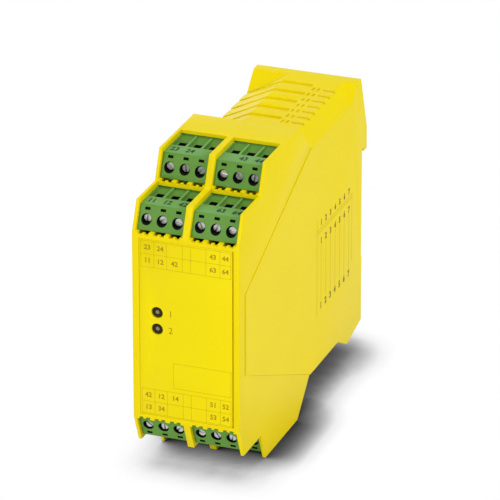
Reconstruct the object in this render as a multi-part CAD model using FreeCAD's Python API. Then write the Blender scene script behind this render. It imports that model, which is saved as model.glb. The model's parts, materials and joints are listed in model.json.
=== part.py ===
import FreeCAD, Part
import math
import os
from FreeCAD import Vector

# Interface relay for a 35 mm mounting rail, in millimetres.
# While it is drawn, x is across the width from the middle, y runs back from the
# front plane, and z is up from the middle of the height. Every piece is moved at
# export so that the origin lies on the rail's centre line, in the rail seat.

# Overall size
width = 35.0
height = 99.0
seat_depth = 110.0
rail_above_middle = 2.0

# Stepped side outline, upper half; the lower half is its mirror image
level_rise = 9.4
level_run = 18.9
riser_lean = 4.0
ridge_depth = 51.6
shoulder_depth = 62.6
shoulder_height = 38.6
seam_depth = 5.0
seam_height = 13.5
seam_gap = 0.05

# How far a cut runs past the face that it opens
past = 1.0

# Walls
cap_wall = 1.0
cap_inset = 0.25
panel_wall = 2.2
bulkhead_wall = 1.2
roof_wall = 1.2
rear_wall = 1.3
rear_block = 5.5

# Tongues of the rear housing that lap behind the cap's side walls
tongue_wall = 0.9
tongue_reach = 2.0
tongue_root = 1.5
tongue_start = 32.0
tongue_end = 56.0

# Terminal plugs
poles = 3
divider_width = 2.1
plug_gap = 0.1
plug_setback = 1.3
plug_lift = 0.6
plug_height = 7.3
plug_end = 21.1
strip_length = 6.0
funnel_wall = 0.8
funnel_fall = 1.2
funnel_rise = 0.3
funnel_end = 19.6
wire_width = 2.6
wire_length = 5.0
mark_width = 1.7
mark_height = 0.8
mark_depth = 0.7
mark_share = 0.84
screw_share = 0.42

# Rim, ribs and lip under each plug
rim_wall = 1.2
rim_height = 0.45
rim_floor = 0.3
lip_height = 1.0
rib_width = 1.5
tooth_width = 0.9
tooth_height = 0.5
roof_cover = 1.6

# Terminal screws and their rising cages
head_radius = 1.4
head_sides = 12
well_sides = 16
shank_sides = 6
head_length = 1.4
head_front = 4.2
head_gap = 0.3
shank_radius = 1.1
shank_gap = 0.15
shank_length = 4.2
slot_width = 0.6
slot_depth = 0.7
first_slot_angle = 35.0
slot_angle_step = 50.0
cage_width = 3.6
cage_height = 4.4
cage_wall = 0.7
cage_front = 7.4
cage_end = 13.6
cage_gap = 0.15

# Pin headers
pin_size = 1.0
pin_gap = 0.2
pin_reach = 6.3
tail_reach = 3.2
header_gap = 0.2
header_base = 3.0

# Front plate and status lamps
plate_side = 2.5
plate_edge = 1.5
plate_recess = 0.8
plate_thickness = 0.7
plate_gap = 0.08
plate_lift_gap = 0.5
lamp_offset = 3.5
lamp_heights = (5.4, -0.1)
lamp_radius = 1.7
lamp_hole = 1.85
lamp_front = 0.4
lamp_length = 12.0
lamp_foot = 3.4
lamp_foot_start = 7.0

# Roof of the rear housing, its chamfers and its vents
roof_height = 44.5
wide_chamfer = 12.1
steep_chamfer = 4.5
ramp_setback = 11.0
vent_first = 69.0
vent_pitch = 7.2
vent_width = 2.2
vent_open_reach = 4.7
vent_rim = 2.0
vent_end_inset = 12.5
vent_bite = 3.0
groove_depth = 0.7
slit_first = 67.0
slit_pitch = 4.7
slit_width = 1.2
slit_inset = 4.1
slit_length = 4.2
dimple_insets = (11.3, 9.6)
dimple_width = 0.8
dimple_length = 2.4
dimple_depth = 0.5

# Rail hook, rail seat and tail
back_lip = 0.5
hook_root_setback = 1.5
hook_reach = 4.5
hook_bend_rise = 6.5
hook_tip = 0.9
rail_height = 35.0
rail_flange = 1.0
rail_gap = 0.3
flange_room = 1.6
foot_setback = 21.5
foot_flat_setback = 17.0
foot_low_setback = 13.0
foot_low = 43.1
foot_end = 40.0

# Foot latch and its spring
latch_width = 16.0
latch_flange = 1.2
latch_flange_wall = 1.5
latch_wall = 3.2
latch_gap = 0.2
latch_grip = 1.0
latch_nose = 2.2
latch_nose_height = 3.0
latch_foot = 46.0
latch_flange_end = 35.0
latch_window = 5.0
tool_slot_width = 6.0
tool_slot_height = 1.6
boss_width = 4.4
boss_height = 2.0
boss_top = 36.0
spring_top = 24.0
spring_radius = 1.2
spring_wire = 0.25
spring_turns = 5
spring_steps = 9

# Circuit board and what it carries
board_offset = 4.7
board_thickness = 1.6
board_front = 6.5
board_end_gap = 1.5
board_roof_gap = 7.6
board_nose_height = 22.0
board_pin_gap = 1.0
board_gap = 0.15
guide_length = 37.0
guide_wall = 1.2
guide_lap = 1.5
relay_size = (12.6, 29.0, 25.5)
relay_front = 31.5
relay_spacing = 30.0
capacitor_radius = 6.3
capacitor_length = 20.0
capacitor_gap = 3.0

# Worked-out places
half_width = width / 2
half_height = height / 2
cap_half = half_width - cap_inset
cap_inner = cap_half - cap_wall
divider_half = divider_width / 2
pocket_width = cap_inner - divider_half
plug_width = pocket_width - 2 * plug_gap
pole_pitch = plug_width / poles
funnel_width = pole_pitch - funnel_wall
window_width = pole_pitch - rib_width
column_x = divider_half + pocket_width / 2
plate_width = width - 2 * plate_side
ledge_1 = half_height - 2 * level_rise
plug_top = plug_lift + plug_height
plug_face_lean = riser_lean / level_rise
plug_front = plug_lift * plug_face_lean + plug_setback * math.hypot(1, plug_face_lean)
screw_z = plug_lift + screw_share * plug_height
mark_z = plug_lift + mark_share * plug_height
strip_start = plug_front + plug_height * plug_face_lean
strip_end = strip_start + strip_length
header_start = plug_end + header_gap
bulkhead_start = header_start + header_base
bulkhead_end = bulkhead_start + bulkhead_wall
floor_drop = rim_floor + lip_height
pole_places = [(i - (poles - 1) / 2) * pole_pitch for i in range(poles)]
levels = {"front": 0, "rear": 1}
columns = {"left": -column_x, "right": column_x}
rail_top = rail_above_middle + rail_height / 2
rail_bottom = rail_above_middle - rail_height / 2
back_depth = seat_depth + back_lip
hook_depth = seat_depth + hook_reach
ramp_depth = seat_depth - ramp_setback
foot_start = seat_depth - foot_setback
foot_flat = seat_depth - foot_flat_setback
foot_low_depth = seat_depth - foot_low_setback
vent_count = 1 + int((ramp_depth - vent_first) / vent_pitch)
vent_open_end = vent_open_reach - half_width
vent_end = half_width - vent_end_inset
slit_count = 1 + int((ramp_depth - slit_first) / slit_pitch)
slit_end = half_width - slit_inset
board_x = board_offset - half_width
board_face = board_x + board_thickness
board_step = bulkhead_start + tail_reach + board_pin_gap
board_edge = min(ledge_1 + level_rise - floor_drop, shoulder_height) - board_roof_gap
board_back = seat_depth - rear_block - board_end_gap
lamp_x = board_x + lamp_offset
guide_start = board_back - guide_length
relay_width, relay_length, relay_height = relay_size
capacitor_depth = relay_front + relay_length + capacitor_gap + capacitor_radius


def block(x0, x1, y0, y1, z0, z1):
    """A box between two corners."""
    return Part.makeBox(x1 - x0, y1 - y0, z1 - z0, Vector(x0, y0, z0))


def side_prism(points, x0, x1):
    """A (y, z) outline drawn in the side view and pushed across the width."""
    corners = [Vector(x0, y, z) for y, z in points]
    face = Part.Face(Part.makePolygon(corners + corners[:1]))
    return face.extrude(Vector(x1 - x0, 0, 0))


def section_prism(points, y0, y1):
    """An (x, z) outline drawn in the front view and pushed back along y."""
    corners = [Vector(x, y0, z) for x, z in points]
    face = Part.Face(Part.makePolygon(corners + corners[:1]))
    return face.extrude(Vector(0, y1 - y0, 0))


def rod(radius, x, y0, y1, z):
    """A round bar along y."""
    return Part.makeCylinder(radius, y1 - y0, Vector(x, y0, z), Vector(0, 1, 0))


def flat_rod(sides, radius, x, y0, y1, z):
    """A bar along y drawn with a few flats, for round forms that repeat many times."""
    step = 2 * math.pi / sides
    turns = [step * (i + 0.5) for i in range(sides)]
    points = [(x + radius * math.cos(t), z + radius * math.sin(t)) for t in turns]
    return section_prism(points, y0, y1)


def upside_down(shape):
    """The same shape mirrored to the lower half."""
    return shape.mirror(Vector(0, 0, 0), Vector(0, 0, 1))


def half_turned(shape):
    """The same shape turned half a turn about the y axis."""
    turned = shape.copy()
    turned.rotate(Vector(0, 0, 0), Vector(0, 1, 0), 180)
    return turned


def join(first, *others):
    """One solid from pieces that meet."""
    return first.fuse(list(others)).removeSplitter()


def save(name, *solids):
    """Move the solids to the rail's centre line and write one file."""
    shape = solids[0] if len(solids) == 1 else Part.makeCompound(list(solids))
    shape = shape.copy()
    shape.translate(Vector(0, -seat_depth, -rail_above_middle))
    shape.exportStep(os.path.join("parts", name + ".step"))


def upper_outline():
    """Stepped edge of the cap's side wall, from the front plane to the shoulder."""
    tread = ledge_1 + level_rise
    return [(0, ledge_1), (riser_lean, tread), (level_run, tread),
            (level_run + riser_lean, half_height), (ridge_depth, half_height),
            (shoulder_depth, shoulder_height)]


def slope_point(z, drop):
    """Depth of the tower's back slope at height z, moved drop inwards."""
    run = shoulder_depth - ridge_depth
    fall = half_height - shoulder_height
    return ridge_depth + (half_height - z) * run / fall - drop * math.hypot(run, fall) / fall


def rim_row(x, y, z):
    """Teeth and windows of the rim in front of one plug, on a solid beam."""
    beam = block(x - pocket_width / 2, x + pocket_width / 2, y, y + rim_wall,
                 z - floor_drop, z + rim_height)
    for place in pole_places:
        window = block(x + place - window_width / 2, x + place + window_width / 2,
                       y - past, y + rim_wall + past, z - rim_floor, z + rim_height + past)
        tooth = block(x + place - tooth_width / 2, x + place + tooth_width / 2,
                      y, y + rim_wall, z - floor_drop, z - rim_floor + tooth_height)
        beam = beam.cut(window).fuse(tooth)
    return beam


def floor_ribs(x, y, z):
    """Ribs that carry one plug, between the poles and along both walls."""
    rib_half = rib_width / 2
    ribs = []
    for i in range(poles + 1):
        middle = x + (i - poles / 2) * pole_pitch
        left = max(middle - rib_half, x - pocket_width / 2)
        right = min(middle + rib_half, x + pocket_width / 2)
        ribs.append(block(left, right, y, y + bulkhead_start, z - floor_drop, z + rim_height))
    return ribs


def header_windows(x, y, z):
    """Openings in the bulkhead for the tails of one header."""
    half = pin_size / 2 + pin_gap
    return [block(x + place - half, x + place + half, y + bulkhead_start - past,
                  y + bulkhead_end + past, z + screw_z - half, z + screw_z + half)
            for place in pole_places]


def make_tower():
    """The upper two terminal levels of the cap, without its side walls."""
    tread = ledge_1 + level_rise
    divider = [(0, ledge_1), (riser_lean, tread), (level_run, tread),
               (level_run + riser_lean, half_height),
               (level_run + bulkhead_end, half_height),
               (level_run + bulkhead_end, tread - floor_drop),
               (bulkhead_end, tread - floor_drop), (bulkhead_end, ledge_1 - floor_drop),
               (0, ledge_1 - floor_drop)]
    pieces = [side_prism(divider, -divider_half, divider_half)]
    windows = []
    for level in levels.values():
        y = level * level_run
        z = ledge_1 + level * level_rise
        top = tread - floor_drop if level == 0 else half_height
        pieces.append(block(-cap_inner, cap_inner, y + bulkhead_start, y + bulkhead_end,
                            z - floor_drop, top))
        for x in columns.values():
            pieces.append(rim_row(x, y, z))
            pieces += floor_ribs(x, y, z)
            windows += header_windows(x, y, z)
    roof_start = level_run + plug_end - roof_cover
    pieces.append(block(-cap_inner, cap_inner, roof_start, ridge_depth,
                        half_height - roof_wall, half_height))
    slope = [(ridge_depth, half_height), (shoulder_depth, shoulder_height),
             (slope_point(shoulder_height, roof_wall), shoulder_height),
             (slope_point(half_height, roof_wall), half_height)]
    pieces.append(side_prism(slope, -cap_inner, cap_inner))
    return pieces[0].fuse(pieces[1:]).cut(windows)


def make_cap():
    """Front housing: side walls, panel and the four rows of terminal pockets."""
    upper = upper_outline()
    lower = [(y, -z) for y, z in reversed(upper)]
    outline = upper + [(seam_depth, seam_height), (seam_depth, -seam_height)] + lower
    right = side_prism(outline, cap_inner, cap_half)
    left = side_prism(outline, -cap_half, -cap_inner)
    panel_top = ledge_1 - floor_drop
    panel = block(-cap_inner, cap_inner, 0, panel_wall, -panel_top, panel_top)
    plate_top = ledge_1 - plate_edge
    recess = block(-plate_width / 2 - plate_gap, plate_width / 2 + plate_lift_gap, -past,
                   plate_recess, -plate_top - plate_gap, plate_top + plate_gap)
    holes = [rod(lamp_hole, lamp_x, -past, panel_wall + past, z) for z in lamp_heights]
    tower = make_tower()
    cap = join(right, left, panel, tower, upside_down(tower))
    return cap.cut([recess] + holes)


def chamfer_wedge(run, side, inset):
    """What the chamfer on one side of the roof takes away, moved inset inwards."""
    fall = roof_height - shoulder_height
    slant = math.hypot(run, fall)
    dx = side * -inset * fall / slant
    dz = -inset * run / slant
    beyond = 5.0
    low = (side * half_width + dx, shoulder_height + dz)
    high = (side * (half_width - run) + dx, roof_height + dz)
    reach_x = side * beyond * run / slant
    reach_z = beyond * fall / slant
    low_out = (low[0] + reach_x, low[1] - reach_z)
    high_out = (high[0] - reach_x, high[1] + reach_z)
    corner = (low_out[0] + side * beyond, high_out[1] + beyond)
    return section_prism([low_out, high_out, (high_out[0], corner[1]), corner], 0, hook_depth)


def ramp_limit(start, slope):
    """Space in front of a ramp that climbs from the shoulder's height to full width."""
    beyond = 2 * (roof_height - shoulder_height)
    return side_prism([(0, 0), (start, 0), (start, shoulder_height),
                       (start + beyond / slope, shoulder_height + beyond),
                       (0, shoulder_height + beyond)], -width, width)


def rear_form(inset):
    """The rear housing as a full solid, each outer face moved inset inwards."""
    x = half_width - inset
    top = roof_height - inset
    front = slope_point(top, -seam_gap)
    seam_run = shoulder_depth - seam_depth
    drop = seam_gap * math.hypot(seam_run, shoulder_height - seam_height) / seam_run
    seam = seam_depth + seam_gap
    shoulder = slope_point(shoulder_height - drop, -seam_gap)
    outline = [(seam, seam_height - drop), (shoulder, shoulder_height - drop), (front, top)]
    low = [(foot_low_depth, inset - foot_low), (foot_flat, -top)]
    if inset:
        inner_back = seat_depth - rear_block
        outline += [(inner_back, top), (inner_back, inset - foot_end)] + low
    else:
        rail_room = rail_top + rail_gap
        hook_root = seat_depth - hook_root_setback
        hook_bend = rail_top + hook_bend_rise
        outline += [(hook_root, top), (hook_depth, hook_bend), (hook_depth, rail_top - hook_tip),
                    (seat_depth + flange_room, rail_top - hook_tip),
                    (seat_depth + flange_room, rail_room), (seat_depth, rail_room),
                    (seat_depth, rail_bottom - latch_nose), (back_depth, rail_bottom - latch_nose),
                    (back_depth, -foot_end)] + low
    outline += [(front, -top), (shoulder, drop - shoulder_height), (seam, drop - seam_height)]
    form = side_prism(outline, -x, x)
    foot_slope = (foot_low - shoulder_height) / (foot_low_depth - foot_start)
    before_ramp = ramp_limit(ramp_depth, 1)
    before_foot = upside_down(ramp_limit(foot_start, foot_slope))
    for run, side in ((wide_chamfer, -1), (steep_chamfer, 1)):
        wedge = chamfer_wedge(run, side, inset)
        lower_wedge = half_turned(wedge)
        if not inset:
            wedge = wedge.common(before_ramp)
            lower_wedge = lower_wedge.common(before_foot)
        form = form.cut([wedge, lower_wedge])
    return form


def vent_cuts(vent_start):
    """Vents with the long grooves that run on from them."""
    cuts = []
    low = shoulder_height - vent_bite
    high = roof_height + past
    skin_floor = rear_form(groove_depth)
    for i in range(vent_count):
        y = vent_first + i * vent_pitch
        y0 = y - vent_width / 2
        y1 = y + vent_width / 2
        cuts.append(block(vent_start, vent_open_end, y0, y1, low, high))
        groove = block(vent_open_end, vent_end, y0, y1, low, high)
        cuts.append(groove.cut(skin_floor))
    return cuts


def roof_marks():
    """Short slits and rows of dimples on the upper roof."""
    cuts = []
    for i in range(slit_count):
        y = slit_first + i * slit_pitch
        cuts.append(block(slit_end - slit_length, slit_end, y - slit_width / 2,
                          y + slit_width / 2, roof_height - groove_depth, roof_height + past))
        for inset in dimple_insets:
            x = half_width - inset
            cuts.append(block(x - dimple_width / 2, x + dimple_width / 2,
                              y - dimple_length / 2, y + dimple_length / 2,
                              roof_height - dimple_depth, roof_height + past))
    return cuts


def latch_channel():
    """T-shaped channel for the foot latch, cut from behind."""
    floor = back_depth - latch_gap - latch_wall
    half = latch_width / 2 + latch_gap
    wide = half + latch_flange
    low = -roof_height - past
    high = rail_bottom + latch_grip + latch_gap
    slot = block(-half, half, floor, back_depth + past, low, high)
    tee = block(-wide, wide, floor, floor + latch_flange_wall + 2 * latch_gap, low, high)
    return slot.fuse(tee)


def spring_boss():
    """Post in the latch channel that the spring stands on."""
    floor = back_depth - latch_gap - latch_wall
    return block(-boss_width / 2, boss_width / 2, floor - latch_gap, back_depth - latch_gap,
                 -boss_top - boss_height, -boss_top)


def seam_tongue(side):
    """Tongue that laps behind the cap's upper side edge, and its root in the rear wall."""
    slope = (shoulder_height - seam_height) / (shoulder_depth - seam_depth)
    start = seam_height + (tongue_start - seam_depth) * slope
    end = seam_height + (tongue_end - seam_depth) * slope
    low = [(tongue_end, end - tongue_root), (tongue_start, start - tongue_root)]
    outer = cap_inner - seam_gap
    lap = side_prism([(tongue_start, start + tongue_reach), (tongue_end, end + tongue_reach)] + low,
                     side * outer, side * (outer - tongue_wall))
    clear = 3 * seam_gap
    root = side_prism([(tongue_start, start - clear), (tongue_end, end - clear)] + low,
                      side * (half_width - rear_wall / 2), side * (outer - tongue_wall))
    return lap.fuse(root)


def board_guide():
    """Grooved rail on the left wall that holds the upper edge of the circuit board."""
    face = board_face + board_gap
    top = board_edge + board_gap
    rail = block(rear_wall / 2 - half_width, face + guide_wall, guide_start,
                 seat_depth - rear_block + board_gap, board_edge - guide_lap, top + guide_wall)
    groove = block(board_x - board_gap, face, 0, board_back + board_gap, 0, top)
    return rail.cut(groove)


def make_rear():
    """Rear housing: hollow shell with vents, rail hook and latch channel."""
    shell = rear_form(0)
    hollow = rear_form(rear_wall)
    mouth = block(rear_wall - half_width, half_width - rear_wall, 0,
                  seam_depth + 2 * rear_wall, -seam_height, seam_height)
    shell = shell.cut([hollow, mouth])
    upper_cuts = vent_cuts(-half_width - past)
    lower_cuts = [half_turned(cut) for cut in vent_cuts(vent_rim - half_width)]
    shell = shell.cut([latch_channel()] + upper_cuts + lower_cuts + roof_marks())
    inner = [board_guide(), seam_tongue(-1), seam_tongue(1)]
    return join(shell, spring_boss(), *inner, *[upside_down(piece) for piece in inner])


def make_latch():
    """Foot latch: slide with a nose for the rail and a foot for a screwdriver."""
    back = back_depth - latch_gap
    floor = back - latch_wall
    front = floor + latch_gap
    nose_top = rail_bottom + latch_grip
    under_rail = rail_bottom - rail_gap
    half = latch_width / 2
    nose_start = seat_depth + rail_flange + rail_gap
    profile = [(front, -latch_foot), (back, -latch_foot), (back, under_rail - latch_nose_height),
               (nose_start, under_rail - latch_nose_height),
               (nose_start + latch_nose, under_rail - latch_nose_height / 2),
               (nose_start + latch_nose, under_rail + latch_grip / 2), (nose_start, nose_top),
               (nose_start, under_rail), (front, under_rail)]
    slide = side_prism(profile, -half, half)
    flanges = block(-half - latch_flange, half + latch_flange, front,
                    front + latch_flange_wall, -latch_flange_end, under_rail)
    window = block(-latch_window / 2, latch_window / 2, 0, hook_depth,
                   -boss_top - boss_height - latch_gap, -spring_top)
    tool_slot = block(-tool_slot_width / 2, tool_slot_width / 2, 0, hook_depth,
                      -latch_foot + tool_slot_height, -latch_foot + 2 * tool_slot_height)
    return join(slide, flanges).cut([window, tool_slot])


def make_spring():
    """Compression spring in the latch's window."""
    length = boss_top - spring_top - 2 * spring_wire
    middle = back_depth - latch_gap - latch_wall / 2
    steps = spring_turns * spring_steps
    path = []
    for i in range(steps + 1):
        turn = 2 * math.pi * i / spring_steps
        path.append(Vector(spring_radius * math.cos(turn), middle + spring_radius * math.sin(turn),
                           spring_wire - boss_top + length * i / steps))
    corners = [path[0] + Vector(dx * spring_wire, 0, dz * spring_wire)
               for dx, dz in ((-1, -1), (1, -1), (1, 1), (-1, 1))]
    square = Part.makePolygon(corners + corners[:1])
    return Part.makePolygon(path).makePipeShell([square], True, False, 1)


def make_plug():
    """Green plug body at the origin of its own level and column."""
    half = plug_width / 2
    body = side_prism([(plug_front, plug_lift), (strip_start, plug_top), (plug_end, plug_top),
                       (plug_end, plug_lift)], -half, half)
    cuts = []
    funnel_floor = plug_top - funnel_fall
    chamber_half = cage_width / 2 + cage_gap
    chamber_top = screw_z + cage_height / 2 + cage_gap
    for x in pole_places:
        cuts.append(side_prism([(strip_end, plug_top + past), (strip_end, funnel_floor),
                                (strip_end + wire_length, funnel_floor),
                                (funnel_end, plug_top - funnel_rise),
                                (funnel_end, plug_top + past)],
                               x - funnel_width / 2, x + funnel_width / 2))
        cuts.append(block(x - wire_width / 2, x + wire_width / 2, strip_end,
                          strip_end + wire_length, chamber_top - cage_wall, plug_top))
        cuts.append(block(x - chamber_half, x + chamber_half, cage_front - cage_gap,
                          cage_end + cage_gap, screw_z - cage_height / 2 - cage_gap,
                          chamber_top))
        cuts.append(flat_rod(well_sides, head_radius + head_gap, x, 0,
                             head_front + head_length + head_gap, screw_z))
        passage = shank_radius + shank_gap
        cuts.append(block(x - passage, x + passage, head_front, cage_front,
                          screw_z - passage, screw_z + passage))
        cuts.append(block(x - mark_width / 2, x + mark_width / 2, 0,
                          plug_front + (mark_z - plug_lift) * plug_face_lean + mark_depth,
                          mark_z - mark_height / 2, mark_z + mark_height / 2))
        pin_half = pin_size / 2 + pin_gap
        cuts.append(block(x - pin_half, x + pin_half, header_start - pin_reach - 2 * pin_gap,
                          plug_end + past, screw_z - pin_half, screw_z + pin_half))
    return body.cut(cuts)


def make_cage(x):
    """Rising cage of one terminal, open at the top and bottom for the wire."""
    half = cage_width / 2
    low = screw_z - cage_height / 2
    high = screw_z + cage_height / 2
    cage = block(x - half, x + half, cage_front, cage_end, low, high)
    opening = block(x - half + cage_wall, x + half - cage_wall, cage_front + 2 * cage_wall,
                    cage_end - cage_wall, low - past, high + past)
    thread = flat_rod(shank_sides, (shank_radius + shank_gap) / math.cos(math.pi / shank_sides),
                      x, cage_front - past, cage_front + 3 * cage_wall, screw_z)
    return cage.cut([opening, thread])


def make_screw(x, angle):
    """Slotted terminal screw on its axis along y."""
    head = flat_rod(head_sides, head_radius, x, head_front, head_front + head_length, screw_z)
    shank_end = head_front + head_length + shank_length
    shank = flat_rod(shank_sides, shank_radius, x, head_front + head_length / 2, shank_end,
                     screw_z)
    slot = block(x - 2 * head_radius, x + 2 * head_radius, head_front - past,
                 head_front + slot_depth, screw_z - slot_width / 2, screw_z + slot_width / 2)
    slot.rotate(Vector(x, 0, screw_z), Vector(0, 1, 0), angle)
    return head.fuse(shank).cut(slot)


def make_header():
    """Pin header: base behind the plug, three pins forward and three tails back."""
    half = plug_width / 2
    base = block(-half, half, header_start, bulkhead_start, plug_lift, plug_top)
    pins = [block(x - pin_size / 2, x + pin_size / 2, header_start - pin_reach,
                  bulkhead_start + tail_reach, screw_z - pin_size / 2, screw_z + pin_size / 2)
            for x in pole_places]
    return join(base, *pins)


def place_terminal(shape, x, level, lower):
    """Move a terminal piece to its column, level and half of the housing."""
    placed = shape.copy()
    placed.translate(Vector(x, level * level_run, ledge_1 + level * level_rise))
    return upside_down(placed) if lower else placed


def make_board():
    """Circuit board: narrow nose in the cap, full height in the rear housing."""
    nose = block(board_x, board_face, board_front, board_back,
                 -board_nose_height / 2, board_nose_height / 2)
    return join(nose, block(board_x, board_face, board_step, board_back, -board_edge, board_edge))


def make_lamp(z):
    """Status lamp: round light guide with a square foot on the board."""
    lens = rod(lamp_radius, lamp_x, lamp_front, lamp_foot_start + past, z)
    foot = block(board_face, lamp_x + lamp_radius, lamp_foot_start, lamp_length,
                 z - lamp_foot / 2, z + lamp_foot / 2)
    return join(lens, foot)


def make_relay(index):
    """Sealed relay soldered to the board."""
    z = (index - 0.5) * relay_spacing
    return block(board_face, board_face + relay_width, relay_front,
                 relay_front + relay_length, z - relay_height / 2, z + relay_height / 2)


def make_plate():
    """Front plate in the panel's recess, with one hole for each lamp."""
    top = ledge_1 - plate_edge
    half = plate_width / 2
    plate = block(-half, half, plate_recess - plate_thickness, plate_recess, -top, top)
    holes = [rod(lamp_hole, lamp_x, -past, plate_recess + past, z) for z in lamp_heights]
    return plate.cut(holes)


os.makedirs("parts", exist_ok=True)

save("front_housing", make_cap())
save("rear_housing", make_rear())
save("front_plate", make_plate())
save("foot_latch", make_latch())
save("latch_spring", make_spring())
save("circuit_board", make_board())
for index, z in enumerate(lamp_heights):
    save("status_lamp_%d" % (index + 1), make_lamp(z))
    save("relay_%d" % (index + 1), make_relay(index))
save("supply_capacitor", Part.makeCylinder(
    capacitor_radius, capacitor_length,
    Vector(board_face, capacitor_depth, 0), Vector(1, 0, 0)))

plug = make_plug()
header = make_header()
cages = Part.makeCompound([make_cage(x) for x in pole_places])
count = 0
for half, lower in (("top", False), ("bottom", True)):
    for level_name, level in levels.items():
        for side, x in columns.items():
            name = "%s_%s_%s" % (half, level_name, side)
            save("plug_" + name, place_terminal(plug, x, level, lower))
            save("header_" + name, place_terminal(header, x, level, lower))
            save("cages_" + name, place_terminal(cages, x, level, lower))
            for number, place in enumerate(pole_places):
                screw = make_screw(place, first_slot_angle + count * slot_angle_step)
                save("screw_%s_%d" % (name, number + 1), place_terminal(screw, x, level, lower))
                count += 1
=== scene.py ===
import bmesh
import bpy
import json
import math
from mathutils import Matrix, Vector

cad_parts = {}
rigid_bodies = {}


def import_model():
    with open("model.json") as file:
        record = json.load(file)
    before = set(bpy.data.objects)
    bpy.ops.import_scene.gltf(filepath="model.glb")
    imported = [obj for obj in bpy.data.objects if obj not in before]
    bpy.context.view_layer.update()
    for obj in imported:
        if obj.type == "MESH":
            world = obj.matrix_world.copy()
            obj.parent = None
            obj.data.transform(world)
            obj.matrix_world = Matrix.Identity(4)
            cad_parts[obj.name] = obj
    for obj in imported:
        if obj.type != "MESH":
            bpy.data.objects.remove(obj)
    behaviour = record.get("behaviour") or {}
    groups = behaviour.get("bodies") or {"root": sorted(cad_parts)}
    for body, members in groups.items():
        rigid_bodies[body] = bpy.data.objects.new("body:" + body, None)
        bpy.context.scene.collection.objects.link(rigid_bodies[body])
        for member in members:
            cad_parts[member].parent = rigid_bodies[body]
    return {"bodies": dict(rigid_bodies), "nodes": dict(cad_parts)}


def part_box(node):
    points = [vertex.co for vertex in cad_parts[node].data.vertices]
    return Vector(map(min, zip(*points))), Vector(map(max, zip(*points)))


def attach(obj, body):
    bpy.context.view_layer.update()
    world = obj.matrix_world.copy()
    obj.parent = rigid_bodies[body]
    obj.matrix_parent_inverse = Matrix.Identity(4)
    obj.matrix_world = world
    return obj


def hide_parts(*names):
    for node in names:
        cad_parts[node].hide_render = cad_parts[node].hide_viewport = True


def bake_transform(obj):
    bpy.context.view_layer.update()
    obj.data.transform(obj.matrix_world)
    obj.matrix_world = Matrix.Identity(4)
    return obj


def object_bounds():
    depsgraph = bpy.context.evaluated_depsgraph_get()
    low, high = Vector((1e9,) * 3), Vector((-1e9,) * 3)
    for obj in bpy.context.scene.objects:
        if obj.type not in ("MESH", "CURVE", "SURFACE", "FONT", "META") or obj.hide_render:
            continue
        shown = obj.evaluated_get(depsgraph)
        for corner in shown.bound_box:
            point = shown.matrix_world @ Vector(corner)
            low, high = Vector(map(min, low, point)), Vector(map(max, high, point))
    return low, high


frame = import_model()
cad_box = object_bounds()
nodes = frame["nodes"]

# Camera: set to the photograph's angle, above and to the right of the front plate.
# The aim is the middle of the relay, moved by what the photograph's frame is off it.
turn = math.radians(20.64)
rise = math.radians(23.95)
pixels_per_mm = 3.216
distance = 1.5
middle = Vector((0.0, -0.060, -0.002))
toward_camera = Vector((math.sin(turn) * math.cos(rise), -math.cos(turn) * math.cos(rise),
                        math.sin(rise)))
camera_right = Vector((math.cos(turn), math.sin(turn), 0.0))
camera_up = toward_camera.cross(camera_right)
off_right = (250 - 244.2) / pixels_per_mm / 1000
off_up = (270.1 - 250) / pixels_per_mm / 1000
lens = bpy.data.cameras.new("camera")
lens.sensor_width = 36.0
lens.lens = pixels_per_mm * distance * 1000 / 500 * lens.sensor_width
lens.clip_end = 20.0
camera = bpy.data.objects.new("camera", lens)
bpy.context.scene.collection.objects.link(camera)
camera.location = middle + toward_camera * distance + camera_right * off_right + camera_up * off_up
camera.rotation_euler = toward_camera.to_track_quat("Z", "Y").to_euler()
bpy.context.scene.camera = camera


# Housing: two shells moulded in yellow polyamide, the front one with the terminal
# pockets and the rear one with the vents and the rail hook. They meet at a fine seam
# on both sides. The mould's edges are slightly round and catch the light. Spark erosion
# of the mould leaves a fine grain, which makes the yellow look even and satin.
def srgb(code):
    """Linear colour of an sRGB hex code."""
    parts = [int(code[i:i + 2], 16) / 255 for i in (1, 3, 5)]
    return [p / 12.92 if p <= 0.04045 else ((p + 0.055) / 1.055) ** 2.4 for p in parts] + [1.0]


def add_node(material, kind, inputs=None, **settings):
    """A node with its settings, its values and its links."""
    made = material.node_tree.nodes.new(kind)
    for name, value in settings.items():
        setattr(made, name, value)
    for name, value in (inputs or {}).items():
        if isinstance(value, bpy.types.NodeSocket):
            material.node_tree.links.new(value, made.inputs[name])
        else:
            made.inputs[name].default_value = value
    return made


def new_material(name):
    """An empty node material."""
    material = bpy.data.materials.new(name)
    material.use_nodes = True
    material.node_tree.nodes.clear()
    return material


def finish_material(material, **inputs):
    """The surface shader and the output; names of sockets have _ for a space."""
    values = {name.replace("_", " "): value for name, value in inputs.items()}
    shader = add_node(material, "ShaderNodeBsdfPrincipled", values)
    add_node(material, "ShaderNodeOutputMaterial", {"Surface": shader.outputs["BSDF"]})
    return material


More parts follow.
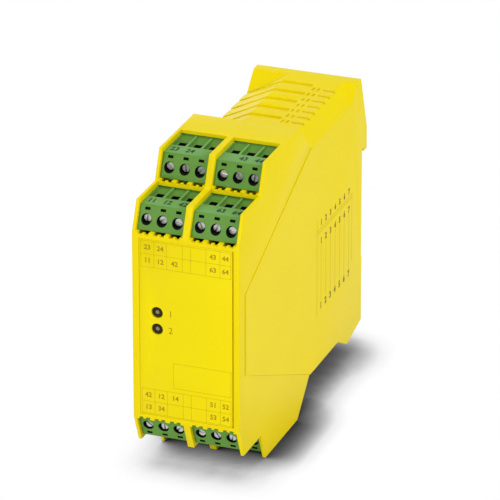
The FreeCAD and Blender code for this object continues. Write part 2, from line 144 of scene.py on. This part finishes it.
def moulded_plastic(name, light, dark, rough_low, rough_high, grain_mm, grain_depth_mm):
    """Moulded plastic: faint drift of colour, and the fine grain of a spark-eroded mould.

    The real grain is finer than a pixel, so grain_mm is as coarse as it needs to show.
    The specular level is far below a real plastic's: it was set by samples, so
    that the colours come out as deep as in the photograph.
    """
    material = new_material(name)
    place = add_node(material, "ShaderNodeTexCoord").outputs["Object"]
    drift = add_node(material, "ShaderNodeTexNoise",
                     {"Vector": place, "Scale": 1000 / drift_mm, "Detail": 2.0, "Roughness": 0.5})
    tint = add_node(material, "ShaderNodeMix", {"Factor": drift.outputs["Fac"],
                                                "A": srgb(dark), "B": srgb(light)},
                    data_type="RGBA")
    grain = add_node(material, "ShaderNodeTexNoise",
                     {"Vector": place, "Scale": 1000 / grain_mm, "Detail": 3.0, "Roughness": 0.6})
    rough = add_node(material, "ShaderNodeMapRange",
                     {"Value": grain.outputs["Fac"], "From Min": 0.3, "From Max": 0.7,
                      "To Min": rough_low, "To Max": rough_high})
    bump = add_node(material, "ShaderNodeBump",
                    {"Height": grain.outputs["Fac"], "Strength": 0.35,
                     "Distance": grain_depth_mm / 1000})
    return finish_material(material, Base_Color=tint.outputs["Result"],
                           Roughness=rough.outputs["Result"], Normal=bump.outputs["Normal"],
                           IOR=1.53, Specular_IOR_Level=0.09)


def dress(piece, material):
    """Give a piece its material."""
    piece.data.materials.clear()
    piece.data.materials.append(material)


def on_seam(point):
    """True for a point on the line on either side where the two shells meet."""
    depth = point.y * 1000 - plane_y
    height = abs(point.z * 1000 - middle_z)
    if abs(depth - seam_depth) < seam_reach and height < seam_height + seam_reach:
        return True
    run = (depth - seam_depth) / (shoulder_depth - seam_depth)
    return 0 < run < 1.01 and abs(height - seam_height - run * seam_climb) < seam_reach


def rounded(node_name, piece_name, edge_mm, material, body):
    """The CAD piece with its sharp edges rounded, in place of the node itself."""
    mesh = nodes[node_name].data.copy()
    shape = bmesh.new()
    shape.from_mesh(mesh)
    bmesh.ops.remove_doubles(shape, verts=shape.verts, dist=1e-6)
    bmesh.ops.dissolve_limit(shape, angle_limit=math.radians(1), verts=shape.verts,
                             edges=shape.edges)
    weight = shape.edges.layers.float.new("bevel_weight_edge")
    for edge in shape.edges:
        turned = edge.is_manifold and edge.calc_face_angle() > math.radians(25)
        sharp = turned and all(on_seam(corner.co) for corner in edge.verts)
        edge[weight] = 1.0 if turned and not sharp else 0.0
        edge.smooth = not sharp
    shape.to_mesh(mesh)
    shape.free()
    piece = bpy.data.objects.new(piece_name, mesh)
    bpy.context.scene.collection.objects.link(piece)
    mesh.shade_smooth()
    bevel = piece.modifiers.new("mould_edge", "BEVEL")
    bevel.width = edge_mm / 1000
    bevel.segments = 2
    bevel.limit_method = "WEIGHT"
    bevel.harden_normals = True
    dress(piece, material)
    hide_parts(node_name)
    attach(piece, body)
    return piece


plane_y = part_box("front_housing")[0].y * 1000
middle_z = (cad_box[0].z + cad_box[1].z) * 500
seam_depth, seam_height = 5.0, 13.5
shoulder_depth, seam_climb = 62.6, 25.1
seam_reach = 0.4
drift_mm = 22.0
housing_plastic = moulded_plastic("moulded_polyamide_yellow", "#f3dd00", "#eed700", 0.40, 0.52,
                                  0.45, 0.02)
rounded("front_housing", "front_shell", 0.2, housing_plastic, "housing")
rounded("rear_housing", "rear_shell", 0.2, housing_plastic, "housing")


# Foot latch and its spring: a slide of the same yellow polyamide as the housing, held in
# its channel, and a coil of drawn steel wire in its window. The spring stands on a post
# of the housing. Drawing leaves bright fine streaks.
def plated_steel(name, light, dark, rough, streak_mm):
    """Steel with fine streaks along y from drawing or turning, drawn coarse enough to show."""
    material = new_material(name)
    place = add_node(material, "ShaderNodeTexCoord").outputs["Object"]
    stretch = add_node(material, "ShaderNodeMapping", {"Vector": place, "Scale": (1.0, 0.12, 1.0)})
    streak = add_node(material, "ShaderNodeTexNoise",
                      {"Vector": stretch.outputs["Vector"], "Scale": 1000 / streak_mm,
                       "Detail": 3.0, "Roughness": 0.6})
    tint = add_node(material, "ShaderNodeMix", {"Factor": streak.outputs["Fac"],
                                                "A": srgb(dark), "B": srgb(light)},
                    data_type="RGBA")
    spread = add_node(material, "ShaderNodeMapRange",
                      {"Value": streak.outputs["Fac"], "To Min": rough - 0.08,
                       "To Max": rough + 0.12})
    bump = add_node(material, "ShaderNodeBump",
                    {"Height": streak.outputs["Fac"], "Strength": 0.3, "Distance": 0.00001})
    return finish_material(material, Base_Color=tint.outputs["Result"], Metallic=1.0,
                           Roughness=spread.outputs["Result"], Normal=bump.outputs["Normal"])


def new_piece(name, shape, material, body):
    """A piece from a bmesh, with its material, slot and body, if it rides on one."""
    mesh = bpy.data.meshes.new(name)
    shape.to_mesh(mesh)
    shape.free()
    piece = bpy.data.objects.new(name, mesh)
    bpy.context.scene.collection.objects.link(piece)
    dress(piece, material)
    if body:
        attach(piece, body)
    return piece


rounded("foot_latch", "foot_latch_slide", 0.2, housing_plastic, "foot_latch")
spring_steel = plated_steel("drawn_spring_steel", "#b9bcc0", "#8f9296", 0.32, 0.2)
wire_radius = 0.25 / 1000
coil_turns = 5
coil_steps = 24
spring_low, spring_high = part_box("latch_spring")
spring_axis = (spring_low + spring_high) / 2
coil_radius = (spring_high.x - spring_low.x) / 2 - wire_radius
coil_start = Vector((spring_axis.x + coil_radius, spring_axis.y, spring_low.z + wire_radius))
coil_climb = (spring_high.z - spring_low.z - 2 * wire_radius) / (coil_turns * coil_steps)
coil = bmesh.new()
section = bmesh.ops.create_circle(
    coil, segments=10, radius=wire_radius,
    matrix=Matrix.Translation(coil_start) @ Matrix.Rotation(math.radians(90), 4, "X"))
bmesh.ops.spin(coil, geom=section["verts"] + list(coil.edges), cent=spring_axis, axis=(0, 0, 1),
               dvec=(0, 0, coil_climb), angle=math.radians(360) * coil_turns,
               steps=coil_turns * coil_steps)
bmesh.ops.holes_fill(coil, edges=[edge for edge in coil.edges if edge.is_boundary])
bmesh.ops.recalc_face_normals(coil, faces=coil.faces)
spring = new_piece("latch_spring_coil", coil, spring_steel, None)
spring.data.shade_smooth()
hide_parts("latch_spring")
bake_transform(spring)


# Front plate: a thin smooth polycarbonate plate let into the panel, a little glossier
# than the housing. Its print is a grid of small number fields at the top and bottom and
# a blank frame, in thin brown ink that lets the yellow through.
plate_plastic = moulded_plastic("smooth_polycarbonate_yellow", "#f4e000", "#f0db00", 0.34, 0.42,
                                0.9, 0.004)
rounded("front_plate", "printed_plate", 0.12, plate_plastic, "housing")
ink = moulded_plastic("printed_ink_brown", "#b0960f", "#a0870c", 0.5, 0.6, 0.4, 0.003)
faint_ink = moulded_plastic("thin_printed_ink", "#dcc50a", "#d4bc09", 0.5, 0.6, 0.4, 0.003)
ink_mm = 0.02
ink_thickness = ink_mm / 1000


def add_bar(shape, low, high):
    """A box between two corners, in millimetres of the frame."""
    size = [(b - a) / 1000 for a, b in zip(low, high)]
    centre = [(a + b) / 2000 for a, b in zip(low, high)]
    place = Matrix.Translation(centre) @ Matrix.Diagonal((*size, 1.0))
    bmesh.ops.create_cube(shape, size=1.0, matrix=place)


def add_words(shape, text, size_mm, place, narrowing=1.0, swell_mm=0.0):
    """Printed characters as a thin solid, laid down with a matrix."""
    curve = bpy.data.curves.new("words", "FONT")
    curve.body = text
    curve.size = size_mm / 1000
    curve.align_x = "CENTER"
    curve.align_y = "CENTER"
    curve.extrude = ink_thickness
    curve.offset = swell_mm / 1000
    curve.resolution_u = 2
    holder = bpy.data.objects.new("words", curve)
    bpy.context.scene.collection.objects.link(holder)
    bpy.context.view_layer.update()
    mesh = bpy.data.meshes.new_from_object(holder)
    mesh.transform(place @ Matrix.Diagonal((narrowing, 1.0, 1.0, 1.0)))
    shape.from_mesh(mesh)
    bpy.data.objects.remove(holder)
    bpy.data.curves.remove(curve)
    bpy.data.meshes.remove(mesh)


plate_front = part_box("front_plate")[0].y * 1000
on_plate = Matrix.Rotation(math.radians(90), 4, "X")
line_width = 0.18
column_lines = (-14.4, -10.2, -6.1, -1.0, 1.7, 6.6, 11.1, 14.6)
row_lines = ((26.7, 22.4, 18.1), (-22.5, -26.7, -30.8))
plate_numbers = ((("23", "24", "", "", "43", "44"), ("11", "12", "42", "", "63", "64")),
                 (("42", "12", "14", "", "51", "52"), ("13", "34", "", "", "53", "54")))
number_fields = (0, 1, 2, 4, 5, 6)
number_size = 2.2
number_swell = 0.05
lines = bmesh.new()
words = bmesh.new()
ink_front = plate_front - ink_mm
ink_back = plate_front + ink_mm
for rows, number_rows in zip(row_lines, plate_numbers):
    for z in rows:
        add_bar(lines, (column_lines[0], ink_front, z - line_width / 2),
                (column_lines[-1], ink_back, z + line_width / 2))
    for x in column_lines:
        add_bar(lines, (x - line_width / 2, ink_front, rows[-1]),
                (x + line_width / 2, ink_back, rows[0]))
    for row, numbers in enumerate(number_rows):
        for field, text in zip(number_fields, numbers):
            if text:
                x = (column_lines[field] + column_lines[field + 1]) / 2
                z = (rows[row] + rows[row + 1]) / 2
                spot = Matrix.Translation((x / 1000, plate_front / 1000, z / 1000))
                add_words(words, text, number_size, spot @ on_plate, swell_mm=number_swell)
blank_frame = (-4.1, 14.6, -21.1, -12.7)
left, right, low, high = blank_frame
for z in (low, high):
    add_bar(lines, (left, ink_front, z - line_width / 2), (right, ink_back, z + line_width / 2))
for x in (left, right):
    add_bar(lines, (x - line_width / 2, ink_front, low), (x + line_width / 2, ink_back, high))
new_piece("plate_lines", lines, faint_ink, "housing")
lamp_words = bmesh.new()
lamp_number_x = -4.9
lamp_number_size = 3.0
for text, z in (("1", 3.4), ("2", -2.1)):
    spot = Matrix.Translation((lamp_number_x / 1000, plate_front / 1000, z / 1000))
    add_words(lamp_words, text, lamp_number_size, spot @ on_plate)
new_piece("plate_numbers", words, ink, "housing")
new_piece("lamp_numbers", lamp_words, ink, "housing")


# Status lamps: acrylic light guides that stand on the board and show through the plate.
# Each is a dark tinted round, smooth enough for a small highlight, with a frosted middle
# that would glow. They are off, so the middle is a dull grey.
lamp_dark = moulded_plastic("tinted_acrylic_dark", "#3a2f10", "#2c230a", 0.18, 0.26, 2.0, 0.002)
lamp_middle = moulded_plastic("frosted_acrylic_unlit", "#8f8773", "#7d7563", 0.4, 0.5, 0.5, 0.004)
lamp_radius = 1.7
glow_radius = 0.62
guide_length = 6.1
lamp_profile = ((0.0, 0.0), (0.4, 0.02), (glow_radius, 0.12), (0.7, 0.3), (1.25, 0.35),
                (1.5, 0.15), (1.62, 0.16), (lamp_radius, 0.3), (lamp_radius, guide_length))
for number in (1, 2):
    node_name = "status_lamp_%d" % number
    low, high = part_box(node_name)
    axis = Vector((high.x - lamp_radius / 1000, low.y, (low.z + high.z) / 2))
    shape = bmesh.new()
    corners = [shape.verts.new((r / 1000, y / 1000, 0)) for r, y in lamp_profile]
    edges = [shape.edges.new(pair) for pair in zip(corners, corners[1:])]
    bmesh.ops.spin(shape, geom=corners + edges, cent=(0, 0, 0), axis=(0, 1, 0),
                   angle=math.radians(360), steps=32, use_merge=True)
    bmesh.ops.remove_doubles(shape, verts=shape.verts, dist=1e-6)
    rim = [edge for edge in shape.edges if edge.is_boundary]
    bmesh.ops.edgeloop_fill(shape, edges=rim)
    bmesh.ops.translate(shape, verts=shape.verts, vec=axis)
    foot_low = (low.x * 1000, low.y * 1000 + guide_length, low.z * 1000)
    add_bar(shape, foot_low, [value * 1000 for value in high])
    bmesh.ops.recalc_face_normals(shape, faces=shape.faces)
    lamp = new_piece("light_guide_%d" % number, shape, lamp_dark, "housing")
    lamp.data.materials.append(lamp_middle)
    for face in lamp.data.polygons:
        off = face.center - axis
        if math.hypot(off.x, off.z) < glow_radius / 1000 and off.y < 0.001:
            face.material_index = 1
    lamp.data.shade_smooth()
    lamp.data.set_sharp_from_angle(angle=math.radians(35))
    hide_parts(node_name)


# Terminal plugs: moulded in satin green polyamide, with a matt strip on top that carries
# numbers in dark print. The funnels behind the strip lead the wires in. The wells for
# the screws and wires are deep, and their faces are painted near-black as painted shade;
# the marks' pockets get the same near-black.
plug_plastic = moulded_plastic("moulded_polyamide_green", "#699a44", "#5d8c39", 0.42, 0.54,
                               0.4, 0.015)
dark_ink = moulded_plastic("printed_ink_dark_green", "#26422a", "#1c3521", 0.5, 0.6, 0.4, 0.003)
strip_plastic = moulded_plastic("matt_green_number_strip", "#76aa5e", "#6b9f52", 0.5, 0.62,
                                0.4, 0.01)
# Painted shade: a near-black material that stands in for the shade in the screw wells and wire
# mouths; the marks' pockets get it too.
painted_shade_dark = moulded_plastic("painted_shade_near_black", "#10160d", "#0a0e08", 0.6, 0.7, 0.4, 0.01)
plug_names = [name for name in frame["bodies"] if name.startswith("plug_")]
plug_numbers = {"top_rear_left": ("23", "24", ""), "top_rear_right": ("", "43", "44"),
                "top_front_left": ("11", "12", "42"), "top_front_right": ("", "63", "64"),
                "bottom_front_left": ("42", "12", "14"), "bottom_front_right": ("", "51", "52"),
                "bottom_rear_left": ("13", "34", ""), "bottom_rear_right": ("", "53", "54")}
front_row_y = -110.0
row_step = 18.9
strip_middle = 7.8
strip_end = 10.8
wire_length = 5.0
wire_half = 1.35
mouth_start = 0.75
mouth_floor = 7.0
well_radius = 1.8
well_depth = 7.3
mark_rise = 3.07
mark_half = 0.6
mark_half_width = 0.95
mark_depth = 5.5
plug_number_size = 3.8
plug_number_narrowing = 0.72
plug_number_swell = 0.12


def in_painted_shade(centre, normal, poles, side, front, top):
    """True for a face in a screw well, a mark's pocket or the mouth for a wire: the faces that get
    painted shade.
    """
    across = abs(normal.y) < 0.1 or normal.y < -0.99
    depth = centre.y * 1000 - front
    below = (top - centre.z * 1000) * side
    for x, z in poles:
        dx = abs(centre.x - x) * 1000
        dz = (centre.z - z) * side * 1000
        in_mark = dx < mark_half_width and abs(dz - mark_rise) < mark_half
        in_mouth = strip_end - 0.2 < depth < strip_end + wire_length + 0.1
        if across and depth < well_depth and math.hypot(dx, dz) < well_radius:
            return True
        if across and depth < mark_depth and in_mark:
            return True
        if dx < wire_half and in_mouth and mouth_start < below < mouth_floor:
            return True
    return False


for body in plug_names:
    key = body[len("plug_"):]
    piece = rounded(body, "terminal_" + body, 0.12, plug_plastic, body)
    piece.data.materials.append(painted_shade_dark)
    piece.data.materials.append(strip_plastic)
    low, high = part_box(body)
    side = 1 if key.startswith("top") else -1
    top = high.z if side == 1 else low.z
    level_front = front_row_y if "front" in key else front_row_y + row_step
    poles = []
    for pole in (1, 2, 3):
        screw_low, screw_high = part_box("screw_%s_%d" % (key, pole))
        poles.append(((screw_low.x + screw_high.x) / 2, (screw_low.z + screw_high.z) / 2))
    # Faces in the wells, mouths and marks' pockets get slot 1, the near-black painted shade; the
    # top faces get the strip.
    for face in piece.data.polygons:
        if in_painted_shade(face.center, face.normal, poles, side, level_front, top * 1000):
            face.material_index = 1
        elif face.normal.z * side > 0.99 and abs(face.center.z - top) < 1e-5:
            face.material_index = 2
    flat = Matrix.Identity(4) if side == 1 else Matrix.Rotation(math.radians(180), 4, "Y")
    print_shape = bmesh.new()
    for (x, _), text in zip(poles, plug_numbers[key]):
        if text:
            spot = Matrix.Translation((x, (level_front + strip_middle) / 1000, top))
            add_words(print_shape, text, plug_number_size, spot @ flat, plug_number_narrowing,
                      plug_number_swell)
    new_piece("numbers_" + key, print_shape, dark_ink, body)


# Terminal screws: turned steel, nickel plated, with a straight slot. The head has a
# small chamfer and the shank a fine thread. Turning leaves faint streaks that break up
# the shine. Each screw stands at its own angle.
screw_steel = plated_steel("nickel_plated_screw_steel", "#d9dad6", "#a4a6a4", 0.34, 0.15)
head_radius = 1.4
head_length = 1.4
shank_radius = 1.1
shank_length = 4.2
thread_pitch = 0.5
thread_depth = 0.18
slot_half = 0.28
slot_depth = 0.7
cutter_half = 3
cutter_start = -1


def turned_profile():
    """Half section of the screw: (radius, distance from the head's face) in millimetres."""
    points = [(0.0, 0.0), (head_radius - 0.25, 0.0), (head_radius, 0.2),
              (head_radius, head_length), (shank_radius - thread_depth, head_length)]
    at = head_length + thread_pitch / 2
    while at < head_length + shank_length - thread_pitch:
        points += [(shank_radius - thread_depth, at), (shank_radius, at + thread_pitch / 2)]
        at += thread_pitch
    return points + [(shank_radius - thread_depth, at), (0.0, at)]


def turned_screw():
    """The screw about the y axis, its head's face at y = 0, with the slot along x."""
    shape = bmesh.new()
    corners = [shape.verts.new((r / 1000, y / 1000, 0)) for r, y in turned_profile()]
    edges = [shape.edges.new(pair) for pair in zip(corners, corners[1:])]
    bmesh.ops.spin(shape, geom=corners + edges, cent=(0, 0, 0), axis=(0, 1, 0),
                   angle=math.radians(360), steps=32, use_merge=True)
    bmesh.ops.remove_doubles(shape, verts=shape.verts, dist=1e-6)
    bmesh.ops.recalc_face_normals(shape, faces=shape.faces)
    return shape


def slotted_mesh():
    """The screw with its slot cut."""
    mesh = bpy.data.meshes.new("screw")
    shape = turned_screw()
    shape.to_mesh(mesh)
    shape.free()
    blank = bpy.data.objects.new("screw_blank", mesh)
    cutter_shape = bmesh.new()
    add_bar(cutter_shape, (-cutter_half, cutter_start, -slot_half),
            (cutter_half, slot_depth, slot_half))
    cutter_mesh = bpy.data.meshes.new("slot_cutter")
    cutter_shape.to_mesh(cutter_mesh)
    cutter_shape.free()
    cutter = bpy.data.objects.new("slot_cutter", cutter_mesh)
    for item in (blank, cutter):
        bpy.context.scene.collection.objects.link(item)
    cut = blank.modifiers.new("slot", "BOOLEAN")
    cut.object = cutter
    cut.solver = "EXACT"
    bpy.context.view_layer.update()
    ready = bpy.data.meshes.new_from_object(
        blank.evaluated_get(bpy.context.evaluated_depsgraph_get()))
    for item in (blank, cutter):
        bpy.data.objects.remove(item)
    return ready


screw_mesh = slotted_mesh()
screw_names = sorted(name for name in nodes if name.startswith("screw_"))
first_angle = 35.0
angle_step = 50.0
for count, node_name in enumerate(screw_names):
    low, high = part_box(node_name)
    centre = (low + high) / 2
    mesh = screw_mesh.copy()
    spot = Matrix.Translation((centre.x, low.y, centre.z))
    mesh.transform(spot @ Matrix.Rotation(math.radians(first_angle + count * angle_step), 4, "Y"))
    mesh.set_sharp_from_angle(angle=math.radians(30))
    screw = bpy.data.objects.new("terminal_" + node_name, mesh)
    bpy.context.scene.collection.objects.link(screw)
    dress(screw, screw_steel)
    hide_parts(node_name)
    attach(screw, node_name)


# Rising cages in the plugs and pin headers behind them: bent from plated sheet steel,
# duller than the screws, and moulded in the same green polyamide as the plugs.
cage_steel = plated_steel("plated_cage_steel", "#8f8d86", "#6b6963", 0.44, 0.3)
for name in nodes:
    if name.startswith("cages_"):
        dress(nodes[name], cage_steel)
    if name.startswith("header_"):
        dress(nodes[name], plug_plastic)


# Inside: a glass-fibre board under green lacquer, which gives it a smooth shine, with two
# sealed relays in dark moulded cases and a capacitor in a glossy shrunk sleeve.
board_lacquer = moulded_plastic("lacquered_glass_fibre_board", "#1f6b3a", "#175a30", 0.25, 0.35,
                                0.8, 0.01)
relay_case = moulded_plastic("moulded_relay_case", "#26272a", "#1d1e20", 0.3, 0.4, 0.5, 0.01)
sleeve = moulded_plastic("shrunk_capacitor_sleeve", "#1b2030", "#141826", 0.2, 0.3, 0.9, 0.005)
dress(nodes["circuit_board"], board_lacquer)
for number in (1, 2):
    dress(nodes["relay_%d" % number], relay_case)
dress(nodes["supply_capacitor"], sleeve)


# Side print on the right wall: a wiring diagram of thin lines between rows of small
# numbers, in thin brown ink that lets the yellow through.
side_ink = moulded_plastic("side_printed_ink", "#7d660c", "#6f5a09", 0.5, 0.6, 0.4, 0.003)
faint_side_ink = moulded_plastic("side_thin_ink", "#cdb41c", "#c4aa18", 0.5, 0.6, 0.4, 0.003)
wall_x = cad_box[1].x * 1000
diagram = bmesh.new()
side_words = bmesh.new()
on_side = Matrix(((0, 0, 1, 0), (1, 0, 0, 0), (0, 1, 0, 0), (0, 0, 0, 1)))
first_wire = -38.0
wire_pitch = 4.3
wires = 7
frame_front, frame_rear = -41.7, -9.3
frame_top, frame_foot = 9.7, -23.2
rear_top, rear_foot = 6.7, -17.2
wire_top, wire_foot = 0.2, -18.8
supply_lines = (6.0, 5.0)
side_number_rows = ((7.9, 2.6), (1.7, 2.8), (-20.6, 3.0))
side_number_swell = 0.14


def side_line(y0, z0, y1, z1, width=0.2):
    """A printed line on the right side, along y or z."""
    half = width / 2
    add_bar(diagram, (wall_x - ink_mm, min(y0, y1) - half, min(z0, z1) - half),
            (wall_x + ink_mm, max(y0, y1) + half, max(z0, z1) + half))


for z in supply_lines:
    side_line(frame_front, z, frame_rear, z)
side_line(frame_front, frame_top, frame_front, frame_foot)
side_line(frame_rear, rear_top, frame_rear, rear_foot)
for i in range(wires):
    y = first_wire + i * wire_pitch
    side_line(y, wire_top, y, wire_foot)
    for z, size in side_number_rows:
        spot = Matrix.Translation((wall_x / 1000, y / 1000, z / 1000))
        add_words(side_words, str(i + 1), size, spot @ on_side, 1.0, side_number_swell)
new_piece("side_diagram", diagram, faint_side_ink, "housing")
new_piece("side_numbers", side_words, side_ink, "housing")


# Floor and light: a white paper floor under soft lamps from the front, above, the right
# and behind. To the camera the floor is plain white with a shadow made by ambient
# occlusion, leaned to the right as in the photograph. The lamps don't cast that shadow.
def background_ray(material_or_world):
    """1 for a ray from the camera, from gloss or through a clear piece, and else 0."""
    path = add_node(material_or_world, "ShaderNodeLightPath")
    either = add_node(material_or_world, "ShaderNodeMath",
                      {0: path.outputs["Is Camera Ray"], 1: path.outputs["Is Glossy Ray"]},
                      operation="MAXIMUM")
    return add_node(material_or_world, "ShaderNodeMath",
                    {0: either.outputs[0], 1: path.outputs["Is Transmission Ray"]},
                    operation="MAXIMUM").outputs[0]


world = bpy.data.worlds.new("daylight")
bpy.context.scene.world = world
world.use_nodes = True
world.node_tree.nodes.clear()
soft = add_node(world, "ShaderNodeBackground", {"Color": (1, 1, 1, 1), "Strength": 0.46})
white = add_node(world, "ShaderNodeBackground", {"Color": (1, 1, 1, 1), "Strength": 1.0})
sky_mix = add_node(world, "ShaderNodeMixShader",
                   {0: background_ray(world), 1: soft.outputs[0], 2: white.outputs[0]})
add_node(world, "ShaderNodeOutputWorld", {"Surface": sky_mix.outputs[0]})

floor_gap = 0.0002
floor_shape = bmesh.new()
bmesh.ops.create_grid(floor_shape, x_segments=1, y_segments=1, size=3.0,
                      matrix=Matrix.Translation((0, 0, cad_box[0].z - floor_gap)))
floor_mesh = bpy.data.meshes.new("floor")
floor_shape.to_mesh(floor_mesh)
floor_shape.free()
floor = bpy.data.objects.new("floor", floor_mesh)
bpy.context.scene.collection.objects.link(floor)
paper = new_material("white_paper")
lean = add_node(paper, "ShaderNodeCombineXYZ", {"X": -0.55, "Y": -0.25, "Z": 0.8}).outputs["Vector"]
near = add_node(paper, "ShaderNodeAmbientOcclusion", {"Distance": 0.012, "Normal": lean})
wide = add_node(paper, "ShaderNodeAmbientOcclusion", {"Distance": 0.016, "Normal": lean})
contact = add_node(paper, "ShaderNodeMath", {0: near.outputs["AO"], 1: 2.2}, operation="POWER")
shadow = add_node(paper, "ShaderNodeMath", {0: contact.outputs[0], 1: wide.outputs["AO"]},
                  operation="MULTIPLY")
seen = add_node(paper, "ShaderNodeEmission", {"Strength": shadow.outputs[0]})
matt = add_node(paper, "ShaderNodeBsdfDiffuse", {"Color": (0.9, 0.9, 0.92, 1.0)})
floor_mix = add_node(paper, "ShaderNodeMixShader",
                     {0: background_ray(paper), 1: matt.outputs[0], 2: seen.outputs[0]})
add_node(paper, "ShaderNodeOutputMaterial", {"Surface": floor_mix.outputs[0]})
dress(floor, paper)


def add_lamp(name, place, power, size):
    """A square soft lamp that faces the relay."""
    light = bpy.data.lights.new(name, "AREA")
    light.energy = power
    light.size = size
    lamp = bpy.data.objects.new(name, light)
    bpy.context.scene.collection.objects.link(lamp)
    lamp.location = middle + Vector(place)
    lamp.rotation_euler = Vector(place).to_track_quat("Z", "Y").to_euler()


add_lamp("front", (-0.4, -1.3, 0.5), 7.6, 0.8)
add_lamp("above", (0.2, 0.1, 1.3), 3.4, 0.7)
add_lamp("side", (1.2, -0.2, 0.65), 6.6, 0.8)
add_lamp("fill", (-1.0, 1.0, 0.5), 5.0, 0.9)
bpy.context.scene.view_settings.view_transform = "Standard"
